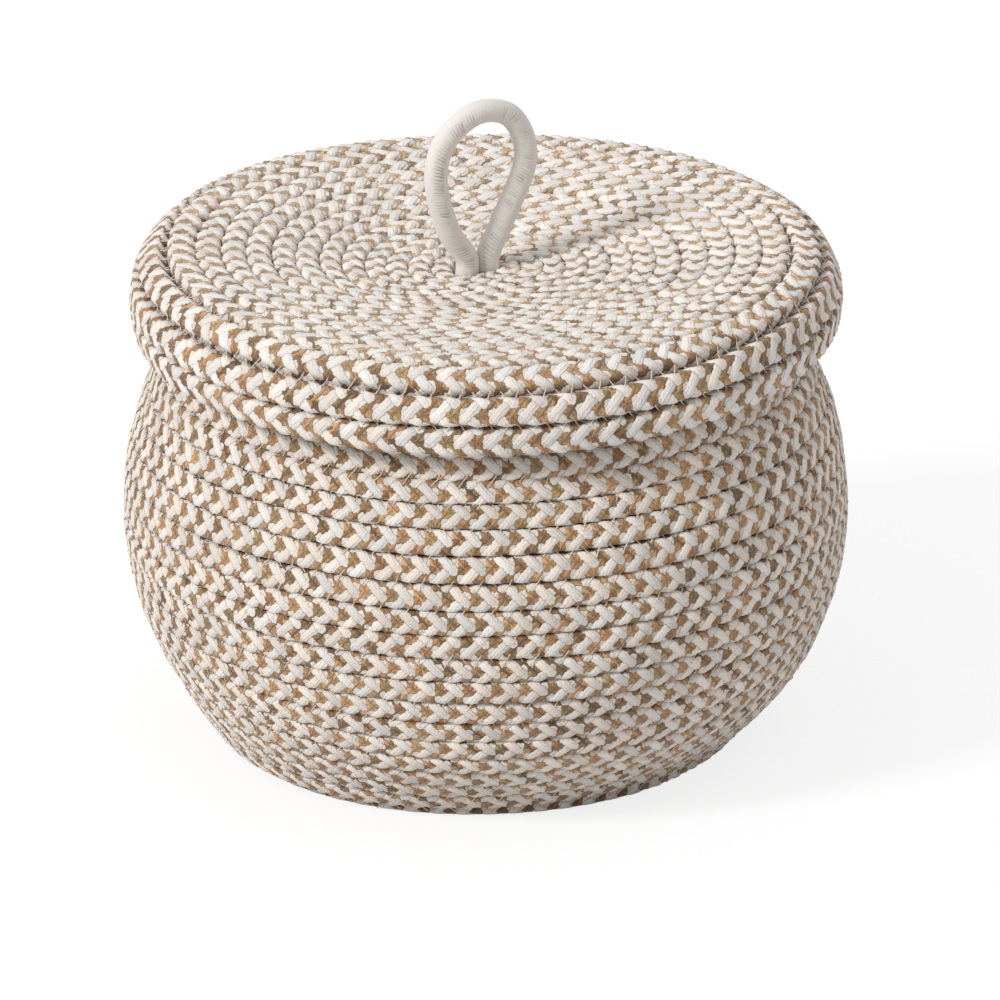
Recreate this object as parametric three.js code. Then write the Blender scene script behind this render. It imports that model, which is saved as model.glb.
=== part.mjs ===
// Rope storage basket: a round-bellied basket coiled from one braided rope, with a coiled lift-off
// lid and a white cord loop to lift it by. Millimetres, +Z up. The origin is the middle of the
// underside, on the surface that the basket stands on.
//
// Each coil is one unbroken tube that winds along a profile: a curve in the (radius, height) plane,
// followed while the tube goes round the axis, one course further along the profile with every turn.
import * as THREE from 'three';

// Rope
const ropeDiameter = 7.3; // pressed narrower where the courses lie closer
const courseGap = 0.55; // clear space between neighbouring courses
const standCut = 0.1; // share of the rope's diameter that is cut flat where the basket stands
const jointGap = 0.3; // clear space between pieces that touch

// Basket, measured to the outside of the rope
const baseRadius = 78.7;
const bellyRadius = 105.2;
const bellyHeight = 66;
const neckRadius = 92.5;
const neckStart = 122; // height where the wall becomes upright
const mouthHeight = 140;
const floorHole = 3.6; // radius left open at the middle of the floor's spiral
const flankAngle = 50; // degrees, slope of the wall where it leaves the floor
const flankReach = 22; // how far the wall keeps that slope
const bellyReach = 22; // how far below the belly the wall is nearly upright
const shoulderReach = 34; // how far above the belly the wall is nearly upright
const neckReach = 12; // how far below the neck the wall is nearly upright
const floorLift = 2.5; // how far up the flank the floor's coil ends
const lowPitch = 7.03; // along the profile, from course to course of the floor and the flank
const lowTurns = 11; // turns up the wall that have that pitch
const highPitch = 7.7; // from there to the mouth

// Lid, measured to the outside of the rope
const lidRestGap = 0.4; // clear space between the mouth and the lid that rests on it
const lidOverhang = 11.2; // how far the rim's widest course stands out past the neck
const lidHemClearance = 2; // clear space between the neck and the lowest course of the rim
const lidHemDrop = 18.9; // how far the rim's lowest course hangs below the mouth
const lidDish = 7.2; // how far the lid's middle lies below its shoulder
const lidFlat = 40; // radius within which the lid's middle is nearly level
const dishReach = 20; // how far inside the shoulder the top is nearly level
const shoulderInset = 10.5; // how far inside the widest course the top turns over
const shoulderRound = 6.3; // how far the round between top and rim reaches
const hemReach = 7.6; // how far the rim is upright, above its lowest course
const hemPitch = 7.2; // from the lid's lowest course to the next
const rimPitch = 8.3; // from course to course up the rim and over the shoulder
const topPitch = 7.45; // inside the shoulder
const middlePitch = 6.18; // round the middle

// Handle
const cordDiameter = 6.8;
const holeClearance = 0.5; // clear space between the legs' neck and the hole in the lid
const legGap = 0.5; // clear space between the two legs where they meet the lid
const rootLean = -2.8; // how far the feet stand to one side of the lid's axis
const loopWaist = 12.5; // height above the lid's middle where the legs part
const waistWidth = 17.2; // between the centres of the cord there
const waistLean = -3.6; // how far that place leans to the side
const loopWidest = 31.5; // height of the widest place above the lid's middle
const loopWidth = 29.7; // between the centres of the cord there
const loopLean = -1.6;
const crownHeight = 42.9; // height above the lid's middle where the top turns over
const crownWidth = 21; // between the centres of the cord there
const crownLean = -2.3;
const crownTilt = 1.6; // how much higher one side of the crown is than its middle
const loopHeight = 47.4; // from the lid's middle to the centre of the cord at the top
const loopTurn = 30; // degrees between the loop's plane and the X axis
const knotRadius = 12.5;
const knotHeight = 11;

// Counts
const rimTurns = 3; // turns of the lid's coil that make the rim
const shoulderTurns = 4; // turns of the lid's coil up to where its courses lie closer
const closeTurns = 8; // turns up to where they lie closest
const wallCuts = [7, 13]; // turns up the wall where its coil is parted
const stepsPerTurn = 16;
const ropeSides = 6;
const loopSteps = 22;
const cordSides = 8;
const knotSides = 24;
const knotArcSteps = 8;
const footAngles = [30, 60]; // degrees round the foot's ball
const startAngle = 85; // degrees; where the coils start and end, at the back
const shortestStep = 0.3; // share of a whole step that a coil's first and last steps may shrink to
const profileSamples = 400; // for reading a profile by its length
const directionReach = 0.1; // length of profile, to both sides, that its direction is read over

const ropeRadius = ropeDiameter / 2;
const cordRadius = cordDiameter / 2;
const legSpacing = cordDiameter + legGap;
const radians = THREE.MathUtils.degToRad;

const materials = {
  rope: { color: 0xd9c8b2, roughness: 0.92, metalness: 0 },
  lidRope: { color: 0xddcdb8, roughness: 0.92, metalness: 0 },
  cord: { color: 0xe9e4de, roughness: 0.85, metalness: 0 },
};

function mesh(name, geometry, look) {
  const result = new THREE.Mesh(geometry, new THREE.MeshStandardMaterial(look));
  result.name = name;
  return result;
}

// A closed tube from rings of points that all have the same count, each ring turning the same way.
function tubeFromRings(rings) {
  const sides = rings[0].length;
  const points = rings.flat();
  const index = [];
  for (let ring = 0; ring < rings.length - 1; ring += 1) {
    for (let side = 0; side < sides; side += 1) {
      const a = ring * sides + side;
      const b = ring * sides + ((side + 1) % sides);
      index.push(a, b, b + sides, a, b + sides, a + sides);
    }
  }
  const last = (rings.length - 1) * sides;
  for (let side = 1; side < sides - 1; side += 1) {
    index.push(0, side + 1, side);
    index.push(last, last + side, last + side + 1);
  }
  const geometry = new THREE.BufferGeometry().setFromPoints(points);
  geometry.setIndex(index);
  geometry.computeVertexNormals();
  return geometry;
}

// A profile of joined curves in (radius, height), read by its length.
function profileOf(...curves) {
  const path = new THREE.CurvePath();
  path.arcLengthDivisions = profileSamples;
  curves.forEach((curve) => path.add(curve));
  return path;
}

function pointAtLength(profile, length) {
  const share = THREE.MathUtils.clamp(length / profile.getLength(), 0, 1);
  return profile.getPointAt(share);
}

// The direction of a profile, away from where it starts.
function directionAtLength(profile, length) {
  const ahead = pointAtLength(profile, length + directionReach);
  return ahead.sub(pointAtLength(profile, length - directionReach)).normalize();
}

// A coil's pace: marks of the profile length that it has reached after each number of turns. It is
// `anchor` at turn 0, where the coil stands at the start angle. Each stretch has its own pitch, and
// the first and last ones go on past the marks.
function paceOf(anchor, stretches) {
  const marks = [{ turn: 0, length: anchor }];
  for (const { upTo, pitch } of stretches) {
    const { turn, length } = marks.at(-1);
    const end = upTo ?? turn + 1;
    marks.push({ turn: end, length: length + (end - turn) * pitch });
  }
  return marks;
}

// One value of a pace where the other is given.
function readPace(pace, known, value, wanted) {
  const after = pace.findIndex((mark, i) => i > 0 && mark[known] >= value);
  const next = after < 0 ? pace.length - 1 : after;
  const [a, b] = [pace[next - 1], pace[next]];
  return a[wanted] + ((value - a[known]) / (b[known] - a[known])) * (b[wanted] - a[wanted]);
}

const lengthAt = (pace, turn) => readPace(pace, 'turn', turn, 'length');
const turnAt = (pace, length) => readPace(pace, 'length', length, 'turn');

// Half of the rope's width along the profile: its own, or what the courses beside it leave.
function halfWidthAt(profile, pace, turn) {
  const centre = pointAtLength(profile, lengthAt(pace, turn));
  const beside = [turn - 1, turn + 1].map((other) => lengthAt(pace, other))
    .filter((length) => length >= 0 && length <= profile.getLength())
    .map((length) => pointAtLength(profile, length).distanceTo(centre));
  return Math.min(ropeDiameter, ...beside.map((distance) => distance - courseGap)) / 2;
}

// The rope's section: a six-sided ring, flat on the outside and cornered towards its neighbours,
// with its width along the profile as a share of the half width.
const ropeSection = Array.from({ length: ropeSides }, (_, side) => {
  const turn = (side / ropeSides) * 2 * Math.PI;
  const flatSine = Math.sin((Math.round(ropeSides / 4) / ropeSides) * 2 * Math.PI);
  return { along: Math.cos(turn), out: ropeRadius * (Math.sin(turn) / flatSine) };
});

// The rings of a coil, from one number of turns to another. All rings but the ends lie at whole
// steps from the start angle, so neighbouring courses have their corners side by side. Nothing
// reaches below the surface that the basket stands on.
function coilRings({ profile, pace, from, to }) {
  const turns = [from];
  const first = Math.ceil(from * stepsPerTurn + shortestStep);
  for (let k = first; k < to * stepsPerTurn - shortestStep; k += 1) {
    turns.push(k / stepsPerTurn);
  }
  turns.push(to);
  return turns.map((turn) => {
    const length = lengthAt(pace, turn);
    const angle = radians(startAngle) + turn * 2 * Math.PI;
    const centre = pointAtLength(profile, length);
    const direction = directionAtLength(profile, length);
    const halfWidth = halfWidthAt(profile, pace, turn);
    return ropeSection.map(({ along, out }) => {
      const radius = centre.x + direction.x * along * halfWidth + direction.y * out;
      const height = centre.y + direction.y * along * halfWidth - direction.x * out;
      return new THREE.Vector3(
        radius * Math.cos(angle),
        radius * Math.sin(angle),
        Math.max(height, 0),
      );
    });
  });
}

// The rings of one coil's stretches, cut at the given numbers of turns. The stretches stop a little
// short of each cut.
function cutCoil({ profile, pace, cuts }) {
  const radiusAt = (turn) => pointAtLength(profile, lengthAt(pace, turn)).x;
  const gapAt = (turn) => jointGap / 2 / (2 * Math.PI * radiusAt(turn));
  const starts = [turnAt(pace, 0), ...cuts.map((cut) => cut + gapAt(cut))];
  const stops = [...cuts.map((cut) => cut - gapAt(cut)), turnAt(pace, profile.getLength())];
  return starts.map((from, i) => coilRings({ profile, pace, from, to: stops[i] }));
}

// The least distance between courses of one coil, measured from its rings' points to the edges of
// the course a turn further on.
function leastSelfGap(rings) {
  const nearbySteps = 2;
  const onEdge = new THREE.Vector3();
  let least = Infinity;
  rings.forEach((ring, i) => {
    const first = i + stepsPerTurn - nearbySteps;
    const last = Math.min(i + stepsPerTurn + nearbySteps, rings.length - 2);
    for (let j = first; j <= last; j += 1) {
      for (let side = 0; side < ropeSides; side += 1) {
        const edge = new THREE.Line3(rings[j][side], rings[j + 1][side]);
        for (const corner of ring) {
          edge.closestPointToPoint(corner, true, onEdge);
          least = Math.min(least, onEdge.distanceTo(corner));
        }
      }
    }
  });
  return least;
}

// Basket profile: along the floor, up the flank to the belly, in to the neck and up to the mouth.
const floorLevel = ropeRadius - standCut * ropeDiameter;
const point = (radius, height) => new THREE.Vector2(radius, height);
const baseCorner = point(baseRadius - ropeRadius, floorLevel);
const belly = point(bellyRadius - ropeRadius, bellyHeight);
const neck = point(neckRadius - ropeRadius, neckStart);
const mouth = point(neckRadius - ropeRadius, mouthHeight - ropeRadius);
const floorStart = floorHole + ropeRadius;
const basketProfile = profileOf(
  new THREE.LineCurve(point(floorStart, floorLevel), baseCorner),
  new THREE.CubicBezierCurve(
    baseCorner,
    baseCorner.clone().add(point(flankReach * Math.cos(radians(flankAngle)),
      flankReach * Math.sin(radians(flankAngle)))),
    point(belly.x, belly.y - bellyReach),
    belly,
  ),
  new THREE.CubicBezierCurve(
    belly,
    point(belly.x, belly.y + shoulderReach),
    point(neck.x, neck.y - neckReach),
    neck,
  ),
  new THREE.LineCurve(neck, mouth),
);
const wallStart = baseCorner.x - floorStart + floorLift;
const [floorRings, flankRings, bellyRings, neckRings] = cutCoil({
  profile: basketProfile,
  pace: paceOf(wallStart, [{ upTo: lowTurns, pitch: lowPitch }, { pitch: highPitch }]),
  cuts: [0, ...wallCuts],
});

// Lid profile: up the rim from its lowest course, over the shoulder and in to the level middle.
const lidShoulderLevel = mouthHeight + lidRestGap + ropeRadius;
const lidMiddleLevel = lidShoulderLevel - lidDish;
const rimRadius = neckRadius + lidOverhang - ropeRadius;
const shoulder = point(rimRadius - shoulderInset, lidShoulderLevel);
const hem = point(neckRadius + lidHemClearance + ropeRadius, mouthHeight - lidHemDrop + ropeRadius);
const rimTop = point(rimRadius, hem.y + hemReach);
const neckHole = cordDiameter + holeClearance; // radius of the hole that the two legs pass through
const lidProfile = profileOf(
  new THREE.QuadraticBezierCurve(hem, point(rimTop.x, hem.y + hemReach / 2), rimTop),
  new THREE.CubicBezierCurve(
    rimTop,
    point(rimTop.x, rimTop.y + shoulderRound),
    point(shoulder.x + shoulderRound, shoulder.y),
    shoulder,
  ),
  new THREE.CubicBezierCurve(
    shoulder,
    point(shoulder.x - dishReach, shoulder.y),
    point(lidFlat, lidMiddleLevel),
    point(neckHole + (middlePitch - courseGap) / 2, lidMiddleLevel),
  ),
);
const [rimRings, topRings] = cutCoil({
  profile: lidProfile,
  pace: paceOf(0, [
    { upTo: 1, pitch: hemPitch },
    { upTo: shoulderTurns, pitch: rimPitch },
    { upTo: closeTurns, pitch: topPitch },
    { pitch: middlePitch },
  ]),
  cuts: [rimTurns],
});

// Handle: the loop's feet end in balls about the line that it tips on, just clear of the neck.
const lidMiddleTop = lidMiddleLevel + ropeRadius;
const tipHeight = lidMiddleTop + jointGap + cordRadius;
const loopRoute = new THREE.CatmullRomCurve3([
  [rootLean + legSpacing / 2, tipHeight - lidMiddleTop],
  [waistLean + waistWidth / 2, loopWaist],
  [loopLean + loopWidth / 2, loopWidest],
  [crownLean + crownWidth / 2, crownHeight + crownTilt],
  [crownLean, loopHeight],
  [crownLean - crownWidth / 2, crownHeight - crownTilt],
  [loopLean - loopWidth / 2, loopWidest],
  [waistLean - waistWidth / 2, loopWaist],
  [rootLean - legSpacing / 2, tipHeight - lidMiddleTop],
].map(([across, up]) => new THREE.Vector3(across, 0, lidMiddleTop + up)), false, 'centripetal');

function cordRing(centre, along, radius) {
  const inPlane = new THREE.Vector3(along.z, 0, -along.x);
  const square = new THREE.Vector3(0, 1, 0);
  const ring = [];
  for (let side = 0; side < cordSides; side += 1) {
    const turn = (side / cordSides) * 2 * Math.PI;
    ring.push(centre.clone()
      .addScaledVector(inPlane, radius * Math.cos(turn))
      .addScaledVector(square, radius * Math.sin(turn)));
  }
  return ring;
}

function loopRings() {
  const down = new THREE.Vector3(0, 0, -1);
  const foot = (end, sense) => footAngles.map((angle) => cordRing(
    end.clone().addScaledVector(down, cordRadius * Math.sin(radians(angle))),
    down.clone().multiplyScalar(sense),
    cordRadius * Math.cos(radians(angle)),
  ));
  const rings = [];
  for (let k = 0; k <= loopSteps; k += 1) {
    const share = k / loopSteps;
    rings.push(cordRing(loopRoute.getPointAt(share), loopRoute.getTangentAt(share), cordRadius));
  }
  return [
    ...foot(loopRoute.getPoint(0), -1).reverse(),
    ...rings,
    ...foot(loopRoute.getPoint(1), 1),
  ];
}

// The neck of the two legs fills the hole, and the knot below the lid holds it there.
function knotGeometry() {
  const top = lidMiddleLevel - ropeRadius - jointGap;
  const centre = top - knotHeight / 2;
  const outline = [point(0, top - knotHeight)];
  for (let k = 1; k < knotArcSteps; k += 1) {
    const angle = (k / knotArcSteps) * Math.PI - Math.PI / 2;
    outline.push(point(knotRadius * Math.cos(angle), centre + (knotHeight / 2) * Math.sin(angle)));
  }
  const shoulderAt = outline.findLastIndex((corner) => corner.x > cordDiameter);
  outline.length = shoulderAt + 1;
  outline.push(point(cordDiameter, top), point(cordDiameter, lidMiddleTop), point(0, lidMiddleTop));
  return new THREE.LatheGeometry(outline, knotSides).rotateX(Math.PI / 2);
}

const coils = {
  floor_coil: floorRings,
  flank_coil: flankRings,
  belly_coil: bellyRings,
  neck_coil: neckRings,
  lid_rim_coil: rimRings,
  lid_top_coil: topRings,
};
for (const [name, rings] of Object.entries(coils)) {
  const turns = ((rings.length - 1) / stepsPerTurn).toFixed(1);
  console.log(`${name}: ${turns} turns, least gap between them ${leastSelfGap(rings).toFixed(2)} mm`);
}

const basket = new THREE.Group();
basket.add(mesh('floor_coil', tubeFromRings(floorRings), materials.rope));
basket.add(mesh('flank_coil', tubeFromRings(flankRings), materials.rope));
basket.add(mesh('belly_coil', tubeFromRings(bellyRings), materials.rope));
basket.add(mesh('neck_coil', tubeFromRings(neckRings), materials.rope));

const lid = new THREE.Group();
lid.add(mesh('lid_rim_coil', tubeFromRings(rimRings), materials.lidRope));
lid.add(mesh('lid_top_coil', tubeFromRings(topRings), materials.lidRope));
lid.add(mesh('handle_knot', knotGeometry(), materials.cord));

const handle = new THREE.Group();
handle.rotation.z = radians(loopTurn);
handle.add(mesh('handle_loop', tubeFromRings(loopRings()), materials.cord));

lid.add(handle);

const part = new THREE.Group();
part.add(basket, lid);
export default part;
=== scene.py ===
"""Dresses a coiled rope basket, its lift-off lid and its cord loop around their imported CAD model.

Every rope is a tube that winds along a profile, a curve in the (radius, height) plane. The strands
of its braid are shaped in the tube's mesh. The mesh's UV map counts rows of the braid along the
rope and columns round it, and so tells the shader which strand it is on. Sizes in this file are
millimetres, and meshes are in metres.
"""

import json
import logging
import math
from collections.abc import Callable, Sequence
from dataclasses import dataclass, field, fields
from enum import Enum

import bmesh
import bpy
import numpy as np
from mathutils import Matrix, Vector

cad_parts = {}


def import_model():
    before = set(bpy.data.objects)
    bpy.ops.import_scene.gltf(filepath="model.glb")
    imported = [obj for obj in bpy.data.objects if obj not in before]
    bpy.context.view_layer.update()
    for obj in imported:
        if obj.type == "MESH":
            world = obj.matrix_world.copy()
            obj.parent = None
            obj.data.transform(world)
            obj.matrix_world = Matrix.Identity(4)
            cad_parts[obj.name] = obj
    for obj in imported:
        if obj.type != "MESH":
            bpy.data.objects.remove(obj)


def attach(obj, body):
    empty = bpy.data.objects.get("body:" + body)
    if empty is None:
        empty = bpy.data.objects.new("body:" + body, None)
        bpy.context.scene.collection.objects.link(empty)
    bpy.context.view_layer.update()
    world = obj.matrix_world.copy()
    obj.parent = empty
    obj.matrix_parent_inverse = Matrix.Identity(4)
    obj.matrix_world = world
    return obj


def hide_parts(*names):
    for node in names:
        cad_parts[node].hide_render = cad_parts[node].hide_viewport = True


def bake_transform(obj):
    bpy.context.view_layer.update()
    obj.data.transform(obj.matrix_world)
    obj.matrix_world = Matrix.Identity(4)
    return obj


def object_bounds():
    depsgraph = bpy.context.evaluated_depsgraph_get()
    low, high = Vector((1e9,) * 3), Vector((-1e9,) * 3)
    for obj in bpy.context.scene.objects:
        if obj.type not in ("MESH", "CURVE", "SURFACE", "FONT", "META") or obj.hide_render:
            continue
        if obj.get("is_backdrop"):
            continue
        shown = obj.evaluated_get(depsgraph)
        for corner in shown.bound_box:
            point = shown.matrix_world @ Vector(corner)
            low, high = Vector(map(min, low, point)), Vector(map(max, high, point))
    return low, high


Array = np.ndarray
Color = tuple[float, float, float, float]

MM = 0.001
TURN = 2 * math.pi
BRAID_MAP = "Braid"  # name of the UV map that counts rows and columns
SEAM_MARK = "Seam"  # name of the attribute that is 1 where a rope meets its neighbours, where the braid paints shade
TOUCHING = 1e-7  # metres within which two points of a mesh are one

# The braid, over two and under two, as the mesh and the finish both draw it
REPEAT = 4  # strands that one crosses until the braid repeats
FULLNESS = 2.4  # power of a strand's dome
WIDENING = 2.2  # power by which a dark strand widens beside its waist

log = logging.getLogger("basket")


def linear(red: int, green: int, blue: int) -> Color:
    """Turns a screen colour of 0 to 255 parts into the shader's linear colour."""
    parts = [part / 255 for part in (red, green, blue)]
    return (*((p / 12.92 if p <= 0.04045 else ((p + 0.055) / 1.055) ** 2.4) for p in parts), 1.0)


# Node trees


class Formula:
    """A number in a node tree, which plain arithmetic extends by Math nodes."""

    def __init__(self, graph: "Graph", socket: bpy.types.NodeSocket) -> None:
        """Keeps the tree and the socket that gives the number."""
        self.graph = graph
        self.socket = socket

    def __add__(self, other: "Formula | float") -> "Formula":
        """Adds a number."""
        return self.graph.math("ADD", self, other)

    __radd__ = __add__

    def __sub__(self, other: "Formula | float") -> "Formula":
        """Takes a number away."""
        return self.graph.math("SUBTRACT", self, other)

    def __rsub__(self, other: float) -> "Formula":
        """Takes this away from a number."""
        return self.graph.math("SUBTRACT", other, self)

    def __mul__(self, other: "Formula | float") -> "Formula":
        """Multiplies by a number."""
        return self.graph.math("MULTIPLY", self, other)

    def __truediv__(self, other: "Formula | float") -> "Formula":
        """Divides by a number."""
        return self.graph.math("DIVIDE", self, other)

    def __pow__(self, other: "Formula | float") -> "Formula":
        """Raises to a power."""
        return self.graph.math("POWER", self, other)

    def __abs__(self) -> "Formula":
        """Drops the sign."""
        return self.graph.math("ABSOLUTE", self)

    def floor(self) -> "Formula":
        """Rounds down."""
        return self.graph.math("FLOOR", self)

    def sine(self) -> "Formula":
        """Gives the sine of an angle in radians."""
        return self.graph.math("SINE", self)

    def modulo(self, count: float) -> "Formula":
        """Gives what is left over past whole counts, never negative."""
        return self.graph.math("FLOORED_MODULO", self, count)

    def below(self, limit: float) -> "Formula":
        """Gives 1 below a limit, and 0 above it."""
        return self.graph.math("LESS_THAN", self, limit)

    def choose(self, yes: "Formula | float", no: "Formula | float") -> "Formula":
        """Gives one number where this is 1, and another where it is 0."""
        return self.graph.mix(self, no, yes)

    def ramp(self, low: float, high: float) -> "Formula":
        """Rises smoothly from 0 at one value to 1 at another.

        Args:
            low: the value up to which it is 0.
            high: the value from which it is 1.

        Returns:
            The number from 0 to 1.
        """
        node = self.graph.node("ShaderNodeMapRange", interpolation_type="SMOOTHSTEP")
        self.graph.put(node.inputs["Value"], self)
        node.inputs["From Min"].default_value = low
        node.inputs["From Max"].default_value = high
        return Formula(self.graph, node.outputs["Result"])


class Graph:
    """A node tree, with short ways to place and join its nodes."""

    def __init__(self, tree: bpy.types.NodeTree) -> None:
        """Keeps the tree."""
        self.tree = tree

    def node(self, kind: str, **settings: object) -> bpy.types.Node:
        """Places a node.

        Args:
            kind: Blender's name of the node's type.
            settings: values of the node's own properties.

        Returns:
            The node.
        """
        node = self.tree.nodes.new(kind)
        for name, value in settings.items():
            setattr(node, name, value)
        return node

    def put(self, target: bpy.types.NodeSocket, value: object) -> None:
        """Links a formula or a socket to an input, or sets the input to a plain value.

        Args:
            target: the input.
            value: the formula, socket or plain value.
        """
        source = value.socket if isinstance(value, Formula) else value
        if isinstance(source, bpy.types.NodeSocket):
            self.tree.links.new(source, target)
        else:
            target.default_value = source

    def math(self, operation: str, *values: "Formula | float") -> Formula:
        """Places a Math node on one or two numbers.

        Args:
            operation: Blender's name of what it does.
            values: the numbers.

        Returns:
            The result.
        """
        node = self.node("ShaderNodeMath", operation=operation)
        for target, value in zip(node.inputs, values):
            self.put(target, value)
        return Formula(self, node.outputs[0])

    def wrap(self, value: Formula, low: float, high: float) -> Formula:
        """Brings a number into a range by whole steps of the range's width.

        Args:
            value: the number.
            low: where the range starts.
            high: where it stops.

        Returns:
            The number in the range.
        """
        node = self.node("ShaderNodeMath", operation="WRAP")
        for target, part in zip(node.inputs, (value, high, low)):
            self.put(target, part)
        return Formula(self, node.outputs[0])

    def mix(self, factor: Formula, first: object, second: object) -> Formula:
        """Mixes two numbers by a factor.

        Args:
            factor: share of the second number.
            first: the number at factor 0.
            second: the number at factor 1.

        Returns:
            The mixed number.
        """
        node = self.node("ShaderNodeMix", data_type="FLOAT")
        for place, value in zip((0, 2, 3), (factor, first, second)):
            self.put(node.inputs[place], value)
        return Formula(self, node.outputs[0])

    def mix_color(self, factor: object, first: object, second: object, blend: str = "MIX") -> Formula:
        """Mixes two colours by a factor.

        Args:
            factor: share of the second colour.
            first: the colour at factor 0.
            second: the colour at factor 1.
            blend: Blender's name of the way to mix.

        Returns:
            The mixed colour.
        """
        node = self.node("ShaderNodeMix", data_type="RGBA", blend_type=blend)
        self.put(node.inputs[0], factor)
        self.put(node.inputs[6], first)
        self.put(node.inputs[7], second)
        return Formula(self, node.outputs[2])

    def toned(self, color: object, tone: Formula) -> Formula:
        """Makes a colour lighter or darker by a factor."""
        return self.mix_color(1.0, color, self.join(tone, tone, tone), "MULTIPLY")

    def split(self, vector: object) -> list[Formula]:
        """Gives the three parts of a vector.

        Args:
            vector: the vector's formula or socket.

        Returns:
            The parts.
        """
        node = self.node("ShaderNodeSeparateXYZ")
        self.put(node.inputs[0], vector)
        return [Formula(self, part) for part in node.outputs]

    def join(self, *parts: "Formula | float") -> Formula:
        """Makes a vector.

        Args:
            parts: up to three numbers.

        Returns:
            The vector.
        """
        node = self.node("ShaderNodeCombineXYZ")
        for target, part in zip(node.inputs, parts):
            self.put(target, part)
        return Formula(self, node.outputs[0])

    def chance(self, *parts: "Formula | float") -> Formula:
        """Gives a random number from 0 to 1 that is the same wherever the parts are.

        Args:
            parts: up to three numbers.

        Returns:
            The random number.
        """
        node = self.node("ShaderNodeTexWhiteNoise", noise_dimensions="3D")
        self.put(node.inputs["Vector"], self.join(*parts))
        return Formula(self, node.outputs["Value"])

    def noise(self, vector: object, scale: object, detail: float) -> Formula:
        """Gives smooth noise from 0 to 1.

        Args:
            vector: the coordinates that it is read at.
            scale: how many waves fit in a unit.
            detail: how many finer layers are added.

        Returns:
            The noise.
        """
        node = self.node("ShaderNodeTexNoise")
        self.put(node.inputs["Vector"], vector)
        self.put(node.inputs["Scale"], scale)
        node.inputs["Detail"].default_value = detail
        return Formula(self, node.outputs["Fac"])


class GroupBuilder(Graph):
    """A shader node group with named inputs and outputs, which materials place with own values."""

    def __init__(self, name: str, inputs: dict[str, str], outputs: dict[str, str]) -> None:
        """Makes the group and its sockets.

        Args:
            name: the group's name.
            inputs: the socket type of each input, by name.
            outputs: the socket type of each output, by name.
        """
        super().__init__(bpy.data.node_groups.new(name, "ShaderNodeTree"))
        for direction, sockets in (("INPUT", inputs), ("OUTPUT", outputs)):
            for label, kind in sockets.items():
                self.tree.interface.new_socket(name=label, in_out=direction, socket_type=kind)
        self._inputs = self.node("NodeGroupInput").outputs
        self._outputs = self.node("NodeGroupOutput").inputs

    def given(self, name: str) -> Formula:
        """Reads an input."""
        return Formula(self, self._inputs[name])

    def give(self, name: str, value: Formula) -> None:
        """Puts out a value."""
        self.put(self._outputs[name], value)


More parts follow.
